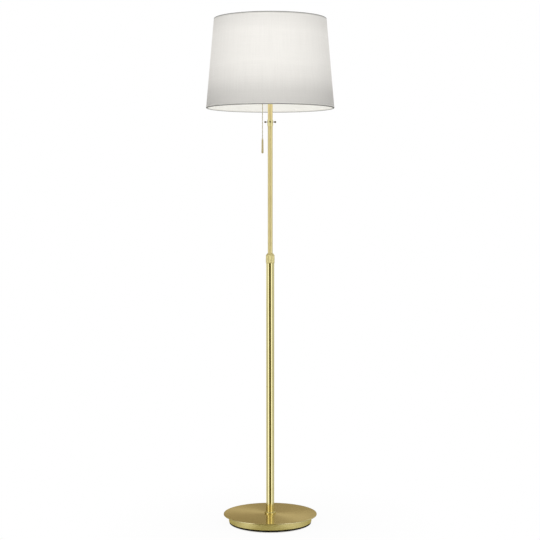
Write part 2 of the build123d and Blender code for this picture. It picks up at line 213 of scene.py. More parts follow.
def draw_out(section, out=(1.0, 0.0)):
    """Draws the selected corner along a half-section that lies in the direction out."""
    here = section[0]
    for there in section[1:]:
        step = (there[0] - here[0]) * MM
        move = (step * out[0], step * out[1], (there[1] - here[1]) * MM)
        bpy.ops.mesh.extrude_region_move(TRANSFORM_OT_translate={"value": move})
        here = there


def turned(name, section, steps=96, axis_x=0.0, crease=35, start=0.0, sweep=360.0):
    """Lathe work: a corner is drawn out into the half-section and spun about the axis."""
    out = (math.cos(math.radians(start)), math.sin(math.radians(start)))
    r, z = section[0]
    piece = start_point(name, ((axis_x + r * out[0]) * MM, r * out[1] * MM, z * MM))
    draw_out(list(section) + [section[0]], out)
    bpy.ops.mesh.select_all(action="SELECT")
    bpy.ops.mesh.remove_doubles(threshold=MERGE_DISTANCE)
    bpy.ops.mesh.select_all(action="SELECT")
    if sweep < 360:
        bpy.ops.mesh.edge_face_add()
    bpy.ops.mesh.spin(steps=steps, angle=math.radians(sweep), center=(axis_x * MM, 0, 0), axis=(0, 0, 1))
    tidy_shell(piece, crease)
    return piece


def bent_wire(name, path, radius, bend):
    """Round wire in an upright plane: its end is drawn along the runs and spun round the bends."""
    deselect()
    here = path[0]
    bpy.ops.mesh.primitive_circle_add(
        vertices=16,
        radius=radius * MM,
        fill_type="NGON",
        location=(here[0] * MM, 0, here[1] * MM),
        rotation=(0, math.radians(90), 0),
    )
    bpy.ops.object.transform_apply(location=True, rotation=True, scale=False)
    wire = bpy.context.object
    wire.name = name
    bpy.ops.object.mode_set(mode="EDIT")
    bpy.ops.mesh.select_all(action="SELECT")
    for count in range(1, len(path)):
        end = path[count]
        angle = math.atan2(end[1] - path[count - 1][1], end[0] - path[count - 1][0])
        turn = 0.0
        if count + 1 < len(path):
            after = math.atan2(path[count + 1][1] - end[1], path[count + 1][0] - end[0])
            turn = after - angle
            back = bend * math.tan(abs(turn) / 2)
            end = (end[0] - math.cos(angle) * back, end[1] - math.sin(angle) * back)
        move = ((end[0] - here[0]) * MM, 0, (end[1] - here[1]) * MM)
        bpy.ops.mesh.extrude_region_move(TRANSFORM_OT_translate={"value": move})
        here = end
        if turn:
            side = math.copysign(bend, turn)
            mid = (end[0] - math.sin(angle) * side, end[1] + math.cos(angle) * side)
            bpy.ops.mesh.spin(steps=8, angle=turn, center=(mid[0] * MM, 0, mid[1] * MM), axis=(0, 1, 0))
            here = (mid[0] + side * math.sin(after), mid[1] - side * math.cos(after))
    tidy_shell(wire, 40)
    return wire


def copied(piece):
    """A copy of a piece with its own mesh."""
    copy = piece.copy()
    copy.data = piece.data.copy()
    bpy.context.scene.collection.objects.link(copy)
    return copy


def joined(name, pieces):
    """Joins pieces into the first one."""
    deselect()
    for piece in pieces:
        piece.select_set(True)
    bpy.context.view_layer.objects.active = pieces[0]
    bpy.ops.object.join()
    whole = bpy.context.object
    whole.name = name
    return whole


def tidy_shell(piece, crease=35):
    """Closes the seam of a spun shell, turns its faces outwards and smooths them."""
    pick(piece)
    bpy.ops.object.mode_set(mode="EDIT")
    bpy.ops.mesh.select_all(action="SELECT")
    bpy.ops.mesh.remove_doubles(threshold=MERGE_DISTANCE)
    bpy.ops.mesh.normals_make_consistent(inside=False)
    bpy.ops.object.mode_set(mode="OBJECT")
    bpy.ops.object.shade_smooth_by_angle(angle=math.radians(crease))


def finish_with(piece, kind, **settings):
    """Adds one modifier with its settings and applies it."""
    pick(piece)
    bpy.ops.object.modifier_add(type=kind)
    modifier = piece.modifiers[-1]
    for key, value in settings.items():
        setattr(modifier, key, value)
    bpy.ops.object.modifier_apply(modifier=modifier.name)


def screwed(piece, pitch, turns, steps):
    """Screws a section up about the upright axis, by one pitch in each turn."""
    finish_with(
        piece,
        "SCREW",
        axis="Z",
        angle=2 * math.pi,
        screw_offset=pitch * MM,
        iterations=turns,
        steps=steps,
        render_steps=steps,
        use_merge_vertices=True,
        merge_threshold=MERGE_DISTANCE,
    )


def bore(piece, place, radius, length, turn):
    """Drills a round hole through a piece."""
    deselect()
    bpy.ops.mesh.primitive_cylinder_add(
        vertices=48,
        radius=radius,
        depth=length,
        location=place,
        rotation=turn,
    )
    drill = bpy.context.object
    finish_with(piece, "BOOLEAN", operation="DIFFERENCE", solver="EXACT", object=drill)
    bpy.data.objects.remove(drill)


def dress(piece, body, slot, material, *replaced):
    """Puts a finished piece on its body, with its finish and the solid that it stands for."""
    piece.data.materials.clear()
    piece.data.materials.append(material)
    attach(piece, body)
    if replaced:
        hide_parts(*replaced)


# Shading helpers


def node(tree, kind, **settings):
    """Adds one shader node."""
    made = tree.nodes.new(kind)
    for key, value in settings.items():
        setattr(made, key, value)
    return made


def feed(tree, source, target):
    """Links a socket, or sets a plain value, on an input."""
    if isinstance(source, bpy.types.NodeSocket):
        tree.links.new(source, target)
    else:
        target.default_value = source


def maths(tree, operation, first, second=0.0, third=0.0):
    """One Math node; its three inputs are sockets or numbers."""
    made = node(tree, "ShaderNodeMath", operation=operation)
    for source, target in zip((first, second, third), made.inputs):
        feed(tree, source, target)
    return made.outputs[0]


def parted(tree, vector):
    """The x, y and z of a vector."""
    split = node(tree, "ShaderNodeSeparateXYZ")
    feed(tree, vector, split.inputs[0])
    return split.outputs[0], split.outputs[1], split.outputs[2]


def from_axis(tree, x, y):
    """Distance from the upright axis."""
    squares = maths(tree, "ADD", maths(tree, "POWER", x, 2.0), maths(tree, "POWER", y, 2.0))
    return maths(tree, "SQRT", squares)


def length_of(tree, vector):
    """Length of a vector."""
    made = node(tree, "ShaderNodeVectorMath", operation="LENGTH")
    feed(tree, vector, made.inputs[0])
    return made.outputs["Value"]


def noise(tree, vector, scale, detail):
    """Soft noise; its scale is a socket or a number."""
    cloud = node(tree, "ShaderNodeTexNoise")
    cloud.inputs["Detail"].default_value = detail
    feed(tree, scale, cloud.inputs["Scale"])
    feed(tree, vector, cloud.inputs["Vector"])
    return cloud.outputs[0]


def ramp(tree, source, stops):
    """Colour ramp; the stops are (place, value) or (place, (r, g, b))."""
    made = node(tree, "ShaderNodeValToRGB")
    band = made.color_ramp
    while len(band.elements) < len(stops):
        band.elements.new(0.5)
    for element, (place, colour) in zip(band.elements, stops):
        element.position = place
        if isinstance(colour, (int, float)):
            colour = (colour, colour, colour)
        element.color = (*colour, 1.0)
    feed(tree, source, made.inputs[0])
    return made.outputs[0]


def mixed(tree, share, first, second):
    """Mixes two colours by a share."""
    made = node(tree, "ShaderNodeMix", data_type="RGBA")
    feed(tree, share, made.inputs[0])
    for source, target in ((first, made.inputs[6]), (second, made.inputs[7])):
        feed(tree, source if isinstance(source, bpy.types.NodeSocket) else (*source, 1.0), target)
    return made.outputs[2]


def multiplied(tree, first, second):
    """Multiplies two colours."""
    made = node(tree, "ShaderNodeMix", data_type="RGBA", blend_type="MULTIPLY")
    made.inputs[0].default_value = 1.0
    feed(tree, first, made.inputs[6])
    feed(tree, second, made.inputs[7])
    return made.outputs[2]


def shader_by(tree, share, first, second):
    """Mixes two shaders by a share."""
    made = node(tree, "ShaderNodeMixShader")
    for source, target in zip((share, first, second), made.inputs):
        feed(tree, source, target)
    return made.outputs[0]


def new_group(name, inputs, outputs):
    """Empty node group with named sockets; gives the tree and its two end nodes."""
    tree = bpy.data.node_groups.new(name, "ShaderNodeTree")
    for label, kind, value in inputs:
        socket = tree.interface.new_socket(label, in_out="INPUT", socket_type="NodeSocket" + kind)
        if value is not None:
            socket.default_value = value
    for label, kind in outputs:
        tree.interface.new_socket(label, in_out="OUTPUT", socket_type="NodeSocket" + kind)
    return tree, node(tree, "NodeGroupInput"), node(tree, "NodeGroupOutput")


def place_group(tree, group, vector, **values):
    """Places a node group in a material, with its own values."""
    made = node(tree, "ShaderNodeGroup")
    made.node_tree = group
    feed(tree, vector, made.inputs["Vector"])
    for label, value in values.items():
        feed(tree, value, made.inputs[label])
    return made


# Node groups for lathe lines, mottling and weave


def make_turned_grain():
    """Fine lathe lines: rings on a disc, hoops round a tube."""
    tree, start, end = new_group(
        "turned_grain",
        [("Vector", "Vector", None), ("Fineness", "Float", 4000.0), ("Wander", "Float", 0.6)],
        [("Lines", "Float"), ("Drift", "Float")],
    )
    where = start.outputs["Vector"]
    fineness = start.outputs["Fineness"]
    x, y, z = parted(tree, where)
    angle = maths(tree, "ARCTAN2", y, x)
    across = node(tree, "ShaderNodeCombineXYZ")
    feed(tree, maths(tree, "MULTIPLY", from_axis(tree, x, y), fineness), across.inputs[0])
    feed(tree, maths(tree, "MULTIPLY", angle, start.outputs["Wander"]), across.inputs[1])
    feed(tree, maths(tree, "MULTIPLY", z, fineness), across.inputs[2])
    feed(tree, noise(tree, across.outputs[0], 1.0, 3.0), end.inputs["Lines"])
    feed(tree, noise(tree, where, 14.0, 2.0), end.inputs["Drift"])
    return tree


def make_speckle():
    """Two sizes of mottling, for castings, rubber, plastics and plated steel."""
    tree, start, end = new_group(
        "speckle",
        [("Vector", "Vector", None), ("Coarse", "Float", 60.0), ("Fine", "Float", 900.0)],
        [("Mottle", "Float"), ("Grain", "Float")],
    )
    for label, size in (("Mottle", "Coarse"), ("Grain", "Fine")):
        spots = noise(tree, start.outputs["Vector"], start.outputs[size], 3.0)
        feed(tree, spots, end.inputs[label])
    return tree


def make_plain_weave():
    """Plain weave laid round the shade: crossing threads with thick and thin places."""
    tree, start, end = new_group(
        "plain_weave",
        [("Vector", "Vector", None), ("Round", "Float", 900.0), ("Upward", "Float", 760.0)],
        [("Height", "Float"), ("Slub", "Float")],
    )
    x, y, z = parted(tree, start.outputs["Vector"])
    angle = maths(tree, "ARCTAN2", y, x)
    round_it = maths(tree, "SINE", maths(tree, "MULTIPLY", angle, start.outputs["Round"]))
    turns_up = maths(tree, "MULTIPLY", z, start.outputs["Upward"])
    upward = maths(tree, "SINE", maths(tree, "MULTIPLY", turns_up, 2 * math.pi))
    crossing = maths(tree, "MULTIPLY", round_it, upward)
    feed(tree, maths(tree, "MULTIPLY_ADD", crossing, 0.5, 0.5), end.inputs["Height"])
    slubs = []
    for round_scale, up_scale in ((240.0, 9.0), (7.0, 620.0)):
        along = node(tree, "ShaderNodeCombineXYZ")
        feed(tree, maths(tree, "MULTIPLY", angle, round_scale * SHADE_MEAN_R * MM), along.inputs[0])
        feed(tree, maths(tree, "MULTIPLY", z, up_scale), along.inputs[1])
        slubs.append(noise(tree, along.outputs[0], 1.0, 2.0))
    feed(tree, maths(tree, "MULTIPLY", maths(tree, "ADD", *slubs), 0.5), end.inputs["Slub"])
    return tree


turned_grain = make_turned_grain()
speckle = make_speckle()
plain_weave = make_plain_weave()

# Materials
BRASS_EDGE = (0.92, 0.86, 0.62)
LATHE_DEPTH = 0.0001
MOTTLE_DEPTH = 0.0002
MOTTLE_SPREAD = 0.16
WEAVE_DEPTH = 0.0003
CLOTH_ROUGH = 0.85


def blank_material(name):
    """Material with a Principled shader and Object coordinates."""
    material = bpy.data.materials.new(name)
    material.use_nodes = True
    tree = material.node_tree
    tree.nodes.clear()
    shader = node(tree, "ShaderNodeBsdfPrincipled")
    feed(tree, shader.outputs[0], node(tree, "ShaderNodeOutputMaterial").inputs[0])
    return material, tree, shader, node(tree, "ShaderNodeTexCoord").outputs["Object"]


def bump(tree, shader, height, strength, depth):
    """Fine relief on the shader's normal."""
    relief = node(tree, "ShaderNodeBump")
    relief.inputs["Strength"].default_value = strength
    relief.inputs["Distance"].default_value = depth
    feed(tree, height, relief.inputs["Height"])
    feed(tree, relief.outputs[0], shader.inputs["Normal"])


def tinted(level, tint):
    """A tint at a level, as a colour."""
    return tuple(level * part for part in tint)


def brass(name, bright, dull, rough, spread, fineness, relief, edge=BRASS_EDGE, brushed=0.0):
    """Satin brass with lathe lines and a slow drift of tone; brushed is its anisotropy."""
    material, tree, shader, where = blank_material(name)
    grain = place_group(tree, turned_grain, where, Fineness=fineness)
    lines = grain.outputs["Lines"]
    tone = ramp(tree, grain.outputs["Drift"], [(0.3, dull), (0.7, bright)])
    lined = mixed(tree, ramp(tree, lines, [(0.35, 0.0), (0.75, 0.35)]), tone, dull)
    feed(tree, lined, shader.inputs["Base Color"])
    shader.inputs["Metallic"].default_value = 1.0
    shader.inputs["Specular Tint"].default_value = (*edge, 1.0)
    gloss = maths(tree, "MULTIPLY_ADD", lines, spread, rough - spread / 2)
    feed(tree, gloss, shader.inputs["Roughness"])
    if brushed:
        shader.inputs["Anisotropic"].default_value = brushed
        shader.inputs["Anisotropic Rotation"].default_value = 0.25
        rings = node(tree, "ShaderNodeTangent", direction_type="RADIAL", axis="Z")
        feed(tree, rings.outputs[0], shader.inputs["Tangent"])
    bump(tree, shader, lines, relief, LATHE_DEPTH)
    return material


def mottled(name, light, dark, rough, metallic=0.0, relief=0.15, shine=0.5):
    """Plain finish with mottling: castings, rubber, plastics, plated steel."""
    material, tree, shader, where = blank_material(name)
    spots = place_group(tree, speckle, where)
    mottle = spots.outputs["Mottle"]
    feed(tree, ramp(tree, mottle, [(0.3, dark), (0.7, light)]), shader.inputs["Base Color"])
    shader.inputs["Metallic"].default_value = metallic
    shader.inputs["Specular IOR Level"].default_value = shine
    gloss = maths(tree, "MULTIPLY_ADD", mottle, MOTTLE_SPREAD, rough - MOTTLE_SPREAD / 2)
    feed(tree, gloss, shader.inputs["Roughness"])
    bump(tree, shader, spots.outputs["Grain"], relief, MOTTLE_DEPTH)
    return material


def glowing_cloth(name, light, dark, glow_stops, warm, relief):
    """Woven cloth with a painted glow that stands in for the bulb's light through it: the glow follows the
    height above the shade's lower edge.
    """
    material, tree, shader, where = blank_material(name)
    weave = place_group(tree, plain_weave, where)
    slub = maths(tree, "MULTIPLY", weave.outputs["Slub"], 0.65)
    worn = maths(tree, "MULTIPLY_ADD", weave.outputs["Height"], 0.35, slub)
    feed(tree, ramp(tree, worn, [(0.25, dark), (0.7, light)]), shader.inputs["Base Color"])
    shader.inputs["Roughness"].default_value = CLOTH_ROUGH
    shader.inputs["Sheen Weight"].default_value = 0.08
    z = parted(tree, where)[2]
    rise = maths(tree, "MULTIPLY_ADD", z, 1 / (SHADE_H * MM), -SHADE_LOW / SHADE_H)
    glow = ramp(tree, rise, [(place, tinted(level, warm)) for place, level in glow_stops])
    threads = ramp(tree, worn, [(0.2, 0.86), (0.7, 1.0)])
    feed(tree, multiplied(tree, glow, threads), shader.inputs["Emission Color"])
    shader.inputs["Emission Strength"].default_value = 1.0
    bump(tree, shader, weave.outputs["Height"], relief, WEAVE_DEPTH)
    return material


def rolled_cloth(name, light, dark, level, warm, relief):
    """Hem cloth with painted light: painted shade along the shade's edge, and a painted glow on the side
    that is turned inwards.
    """
    material, tree, shader, where = blank_material(name)
    weave = place_group(tree, plain_weave, where)
    x, y, z = parted(tree, where)
    roll = 2 * HEM_R * MM
    face = maths(tree, "MULTIPLY_ADD", z, -SHADE_TAPER, (SHADE_LOW_R + SHADE_TAPER * SHADE_LOW) * MM)
    inward = maths(tree, "DIVIDE", maths(tree, "SUBTRACT", face, from_axis(tree, x, y)), roll)
    above = maths(tree, "SUBTRACT", z, SHADE_LOW * MM)
    below = maths(tree, "SUBTRACT", SHADE_HIGH * MM, z)
    from_edge = maths(tree, "DIVIDE", maths(tree, "MINIMUM", above, below), roll)
    worn = ramp(tree, weave.outputs["Slub"], [(0.3, 0.88), (0.7, 1.0)])
    # Painted shade: the cloth is dark along the shade's edge, where the wire ring keeps the bulb's light
    # back
    cloth = ramp(tree, from_edge, [(0.36, dark), (0.58, light)])
    feed(tree, multiplied(tree, cloth, worn), shader.inputs["Base Color"])
    shader.inputs["Roughness"].default_value = CLOTH_ROUGH
    # Painted glow on the side turned inwards, weaker right at the edge, and a little through the roll
    # further from the edge
    painted_inner_glow = ramp(tree, inward, [(0.50, 0.0), (0.68, 1.0)])
    off_edge = ramp(tree, from_edge, [(0.1, 0.62), (0.45, 1.0)])
    shine_through = ramp(tree, from_edge, [(0.45, 0.0), (0.7, 0.3)])
    lit = maths(tree, "MAXIMUM", maths(tree, "MULTIPLY", painted_inner_glow, off_edge), shine_through)
    glow = mixed(tree, lit, (0.0, 0.0, 0.0), tinted(level, warm))
    feed(tree, glow, shader.inputs["Emission Color"])
    shader.inputs["Emission Strength"].default_value = 1.0
    bump(tree, shader, weave.outputs["Height"], relief, WEAVE_DEPTH)
    return material


def lit_glass(name, light, dark, glow_stops, strength):
    """Opal bulb: white glass with a warm glow that is weaker at its neck."""
    material, tree, shader, where = blank_material(name)
    spots = place_group(tree, speckle, where, Coarse=24.0, Fine=300.0)
    milky = ramp(tree, spots.outputs["Mottle"], [(0.3, dark), (0.7, light)])
    feed(tree, milky, shader.inputs["Base Color"])
    shader.inputs["Roughness"].default_value = 0.22
    z = parted(tree, where)[2]
    rise = maths(tree, "MULTIPLY_ADD", z, 1 / (GLOW_H * MM), -GLOW_LOW / GLOW_H)
    feed(tree, ramp(tree, rise, glow_stops), shader.inputs["Emission Color"])
    shader.inputs["Emission Strength"].default_value = strength
    return material


tube_brass = brass("tube_brass", bright=(0.83, 0.76, 0.41), dull=(0.77, 0.69, 0.35),
                   rough=0.14, spread=0.02, fineness=5200.0, relief=0.002)
rod_brass = brass("rod_brass", bright=(0.89, 0.785, 0.42), dull=(0.83, 0.72, 0.365),
                  rough=0.44, spread=0.04, fineness=5200.0, relief=0.006)
# The stem's brass is a brighter, warmer copy of the rod's: painted light from the bulb and the lit shade
# above it
stem_brass_painted_warm_light = brass("stem_brass_painted_warm_light", bright=(0.95, 0.81, 0.42), dull=(0.90, 0.75, 0.37),
                   rough=0.44, spread=0.04, fineness=5200.0, relief=0.006)
disc_brass = brass("disc_brass", bright=(0.82, 0.73, 0.43), dull=(0.74, 0.645, 0.365),
                   rough=0.21, spread=0.06, fineness=2600.0, relief=0.02,
                   edge=(0.88, 0.79, 0.58), brushed=0.85)
skirt_brass = brass("skirt_brass", bright=(0.92, 0.83, 0.43), dull=(0.85, 0.75, 0.37),
                    rough=0.52, spread=0.12, fineness=3200.0, relief=0.05, edge=(0.90, 0.82, 0.50))
knurl_brass = brass("knurl_brass", bright=(0.95, 0.87, 0.49), dull=(0.89, 0.81, 0.43),
                    rough=0.48, spread=0.08, fineness=6000.0, relief=0.03)
bell_brass = brass("bell_brass", bright=(0.69, 0.61, 0.36), dull=(0.61, 0.53, 0.30),
                   rough=0.36, spread=0.08, fineness=6000.0, relief=0.03)
bead_brass = brass("bead_brass", bright=(0.56, 0.52, 0.36), dull=(0.49, 0.45, 0.30),
                   rough=0.30, spread=0.08, fineness=6000.0, relief=0.03)
dark_brass = brass("dark_brass", bright=(0.28, 0.225, 0.08), dull=(0.20, 0.155, 0.05),
                   rough=0.34, spread=0.10, fineness=6000.0, relief=0.03, edge=(0.46, 0.38, 0.18))

rubber = mottled("edge_rubber", light=(0.012, 0.009, 0.006), dark=(0.006, 0.005, 0.003),
                 rough=0.78, shine=0.12)
iron = mottled("cast_iron", light=(0.045, 0.045, 0.048), dark=(0.022, 0.022, 0.024),
               rough=0.7, metallic=0.3, relief=0.5)
steel = mottled("zinc_steel", light=(0.52, 0.53, 0.55), dark=(0.40, 0.41, 0.44),
                rough=0.38, metallic=1.0, relief=0.06)
nickel = mottled("nickel", light=(0.62, 0.59, 0.54), dark=(0.50, 0.48, 0.44),
                 rough=0.22, metallic=1.0, relief=0.04)
black_plastic = mottled("black_plastic", light=(0.030, 0.030, 0.031), dark=(0.020, 0.020, 0.021),
                        rough=0.42, relief=0.08)
nylon = mottled("white_nylon", light=(0.78, 0.76, 0.70), dark=(0.70, 0.68, 0.62),
                rough=0.45, relief=0.08)
white_wire = mottled("white_wire", light=(0.80, 0.79, 0.76), dark=(0.72, 0.71, 0.68),
                     rough=0.40, relief=0.06)

# The shade's painted glow is strongest level with the bulb, and weakest at its lower edge
CLOTH_GLOW = [(0.0, 0.068), (0.05, 0.083), (0.15, 0.124), (0.31, 0.275)]
CLOTH_GLOW += [(0.47, 0.35), (0.8, 0.36), (0.9, 0.305), (1.0, 0.26)]
# The seam's painted glow is weaker, as less of the bulb's light comes through the doubled cloth
SEAM_GLOW = [(place, level * 0.7) for place, level in CLOTH_GLOW]
# The liner's painted glow stands in for the bulb's light on the inside of the shade
LINER_GLOW = [(0.0, 0.39), (0.5, 0.435), (1.0, 0.395)]
BULB_GLOW = [(0.0, (0.55, 0.45, 0.30)), (0.35, (0.95, 0.84, 0.66)), (1.0, (1.0, 0.88, 0.70))]
HEM_GLOW = 0.36
WARM = (1.0, 0.975, 0.93)
LINER_WARM = (1.0, 0.995, 0.95)
CLOTH_LIGHT = (0.64, 0.625, 0.595)
CLOTH_DARK = (0.58, 0.565, 0.535)
CLOTH_RELIEF = 0.25
shade_cloth = glowing_cloth("shade_cloth", CLOTH_LIGHT, CLOTH_DARK, CLOTH_GLOW, WARM, CLOTH_RELIEF)
seam_cloth = glowing_cloth("seam_cloth", CLOTH_LIGHT, CLOTH_DARK, SEAM_GLOW, WARM, CLOTH_RELIEF)
shade_liner = glowing_cloth("shade_liner", (0.74, 0.73, 0.70), (0.70, 0.69, 0.66), LINER_GLOW, LINER_WARM,
                            relief=0.03)
# The hem's dark colour is painted shade along the shade's edge
hem_cloth_painted_light = rolled_cloth("hem_cloth_painted_light", (0.66, 0.65, 0.62), (0.25, 0.245, 0.23), HEM_GLOW, LINER_WARM,
                         CLOTH_RELIEF)
opal_glass = lit_glass("opal_glass", (0.95, 0.94, 0.90), (0.90, 0.88, 0.83), BULB_GLOW, strength=0.28)

SLOT_FINISH = {
    "satin_brass": tube_brass,
    "black_rubber": rubber,
    "cast_iron": iron,
    "zinc_steel": steel,
    "black_plastic": black_plastic,
    "white_nylon": nylon,
    "nickel": nickel,
    "opal_glass": opal_glass,
    "white_wire": white_wire,
    "shade_fabric": shade_cloth,
    "shade_liner": shade_liner,
}
for part in frame["record"]["subparts"]:
    solid = nodes[part["node"]].data
    solid.materials.clear()
    solid.materials.append(SLOT_FINISH[part["material_slot"]])
nodes["clamp_ring"].data.materials[0] = knurl_brass
nodes["head_collar"].data.materials[0] = knurl_brass
for side in ("front", "right", "back", "left"):
    nodes["thumbscrew_" + side].data.materials[0] = dark_brass

# Camera, as the photograph was taken
CAMERA_PLACE = (-0.0007, -4.23, 1.01674)
CAMERA_DIP = 2.937
deselect()
bpy.ops.object.camera_add(location=CAMERA_PLACE, rotation=(math.radians(90 - CAMERA_DIP), 0, 0))
camera = bpy.context.object
camera.data.lens = 90.04
camera.data.sensor_width = 36.0
bpy.context.scene.camera = camera

# Bead chain on its straight hanging line, with the turned bell below it


def hanging_line():
    """Points of the chain's line, read from its spline."""
    top = TOP_BEAD + BEAD_REACH
    low = LOW_BEAD - BEAD_REACH
    data = bpy.data.curves.new("chain_line", "CURVE")
    data.dimensions = "3D"
    spline = data.splines.new("NURBS")
    route = [top, top - LINE_LEAD, low + LINE_LEAD, low]
    spline.points.add(len(route) - 1)
    for point, z in zip(spline.points, route):
        point.co = (CHAIN_X * MM, 0, z * MM, 1)
    spline.order_u = 3
    spline.use_endpoint_u = True
    spline.resolution_u = 24
    holder = bpy.data.objects.new("chain_line", data)
    bpy.context.scene.collection.objects.link(holder)
    mesh = bpy.data.meshes.new_from_object(holder)
    points = [vertex.co.copy() for vertex in mesh.vertices]
    bpy.data.objects.remove(holder)
    bpy.data.meshes.remove(mesh)
    return points


def at_length(points, length):
    """Place on a line at a length from its start."""
    for first, second in zip(points, points[1:]):
        step = (second - first).length
        if length <= step:
            return first.lerp(second, length / step)
        length -= step
    return points[-1].copy()


def make_bead_chain(points):
    """One bead with its short link is modelled, then copied down the line and joined."""
    deselect()
    bpy.ops.mesh.primitive_uv_sphere_add(segments=14, ring_count=9, radius=BEAD_R * MM)
    bead = bpy.context.object
    bead.name = "bead_chain"
    bpy.ops.object.mode_set(mode="EDIT")
    bpy.ops.mesh.select_all(action="DESELECT")
    bpy.ops.mesh.primitive_cylinder_add(
        vertices=8,
        radius=LINK_R * MM,
        depth=LINK_LENGTH * MM,
        end_fill_type="NOTHING",
        location=(0, 0, -BEAD_PITCH / 2 * MM),
    )
    bpy.ops.object.mode_set(mode="OBJECT")
    bpy.ops.object.shade_smooth_by_angle(angle=math.radians(40))
    beads = []
    for count in range(BEADS):
        copy = copied(bead)
        copy.location = at_length(points, (BEAD_REACH + count * BEAD_PITCH) * MM)
        beads.append(copy)
    bpy.data.objects.remove(bead)
    chain = joined("bead_chain", beads)
    bpy.ops.object.transform_apply(location=True, rotation=True, scale=True)
    return chain


chain_points = hanging_line()
bead_chain = make_bead_chain(chain_points)
bell = turned(
    "bell_weight",
    [(r, BELL_TOP - drop) for r, drop in BELL_SHOULDER] + [(r, BELL_LOW + rise) for r, rise in BELL_SKIRT],
    steps=40,
    axis_x=CHAIN_X,
)
dress(bell, "pull_bell", "satin_brass", bell_brass, "pull_bell")
dress(bead_chain, "pull_chain", "satin_brass", bead_brass, "pull_chain")

# The spring round the plunger is pressed together when the chain is pulled


def make_return_spring():
    """Round wire is drawn once round the plunger for each turn, and closed at both ends."""
    deselect()
    bpy.ops.mesh.primitive_circle_add(
        vertices=10,
        radius=SPRING_WIRE_R * MM,
        location=(SPRING_R * MM, 0, SPRING_LOW * MM),
        rotation=(math.radians(90), 0, 0),
    )
    bpy.ops.object.transform_apply(location=True, rotation=True, scale=False)
    coil = bpy.context.object
    coil.name = "return_spring"
    screwed(coil, SPRING_PITCH, SPRING_TURNS, 32)
    bpy.ops.object.mode_set(mode="EDIT")
    bpy.ops.mesh.select_all(action="SELECT")
    bpy.ops.mesh.fill_holes(sides=0)
    bpy.ops.mesh.select_all(action="SELECT")
    bpy.ops.transform.translate(value=(CHAIN_X * MM, 0, 0))
    tidy_shell(coil, 45)
    return coil


spring = make_return_spring()
dress(spring, "head", "zinc_steel", steel, "plunger_spring")
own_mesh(spring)

# Base: overhanging disc, skirt with the inlet's hole, and the black edge ring
disc_under = DISC_TOP - DISC_WALL
rim_low = DISC_TOP - RIM_H
disc = turned(
    "base_plate",
    [(DISC_HOLE_R, disc_under), (DISC_R - DISC_WALL, disc_under), (DISC_R - DISC_WALL, rim_low)]
    + arc(DISC_R - RIM_ROUND, rim_low + RIM_ROUND, RIM_ROUND, -90, 0, 3)
    + arc(DISC_R - DISC_ROUND, DISC_TOP - DISC_ROUND, DISC_ROUND, 0, 90, 5)
    + [(DISC_R - DISC_WALL, DISC_TOP), (DISC_MID_R, DISC_TOP), (DISC_HOLE_R, DISC_TOP)],
    steps=192,
)
dress(disc, "stand", "satin_brass", disc_brass, "base_disc")

shelf_r = SKIRT_R - SKIRT_SHELF
shelf_low = SKIRT_TOP - SKIRT_WALL
skirt = turned(
    "base_band",
    [(SKIRT_IN, EDGE_RING_H)]
    + arc(SKIRT_R - SKIRT_ROUND, EDGE_RING_H + SKIRT_ROUND, SKIRT_ROUND, -90, 0, 5)
    + arc(SKIRT_R - SKIRT_ROUND, SKIRT_TOP - SKIRT_ROUND, SKIRT_ROUND, 0, 90, 4)
    + [(shelf_r, SKIRT_TOP), (shelf_r, shelf_low), (SKIRT_IN, shelf_low)],
    steps=192,
)
bore(
    skirt,
    place=(0, SKIRT_R * MM, INLET_Z * MM),
    radius=INLET_HOLE_R * MM,
    length=INLET_HOLE_LENGTH * MM,
    turn=(math.radians(90), 0, 0),
)
tidy_shell(skirt)
dress(skirt, "stand", "satin_brass", skirt_brass, "base_skirt")

edge_in = EDGE_RING_R - EDGE_RING_WIDTH
edge_ring = turned(
    "edge_ring",
    [(edge_in, 0)]
    + arc(EDGE_RING_R - EDGE_RING_ROUND, EDGE_RING_ROUND, EDGE_RING_ROUND, -90, 0, 4)
    + [(EDGE_RING_R, EDGE_RING_H), (edge_in, EDGE_RING_H)],
    steps=160,
)
dress(edge_ring, "stand", "black_rubber", rubber, "base_foot_ring")

# Pole: stepped foot collar and the two tubes, with the fine joint between them
foot_collar = turned(
    "foot_collar",
    [(FOOT_COLLAR_BORE_R, DISC_TOP), (FOOT_COLLAR_R - FOOT_COLLAR_EASE, DISC_TOP)]
    + [(FOOT_COLLAR_R, DISC_TOP + FOOT_COLLAR_EASE)]
    + arc(FOOT_COLLAR_R - FOOT_COLLAR_ROUND, DISC_TOP + FOOT_COLLAR_ROUND_Z, FOOT_COLLAR_ROUND, 0, 80, 4)
    + [(r, DISC_TOP + rise) for r, rise in FOOT_COLLAR_NECK]
    + [(FOOT_COLLAR_BORE_R, DISC_TOP + FOOT_COLLAR_H)],
    steps=96,
    crease=40,
)
dress(foot_collar, "stand", "satin_brass", tube_brass, "pole_foot_collar")


def tube(name, outer, low, high, edge):
    """Round tube with eased outer edges."""
    inner = outer - TUBE_WALL
    lower_end = [(inner, low), (outer - edge, low), (outer, low + edge)]
    upper_end = [(outer, high - edge), (outer - edge, high), (inner, high)]
    return turned(name, lower_end + upper_end, steps=96)


lower_tube = tube("lower_tube", POLE_R, DISC_TOP, POLE_JOINT, edge=0.4)
dress(lower_tube, "stand", "satin_brass", tube_brass, "lower_pole")
upper_tube = tube("upper_tube", POLE_R, POLE_JOINT, POLE_TOP, edge=0.4)
dress(upper_tube, "stand", "satin_brass", tube_brass, "upper_pole")
rod = tube("rod_tube", ROD_R, ROD_LOW, ROD_HIGH, edge=0.3)
dress(rod, "rod", "satin_brass", rod_brass, "telescopic_rod")
stem = tube("head_stem", ROD_R, ROD_HIGH + STEM_GAP, HOLDER_LOW, edge=0.2)
dress(stem, "head", "satin_brass", stem_brass_painted_warm_light, "head_tube")

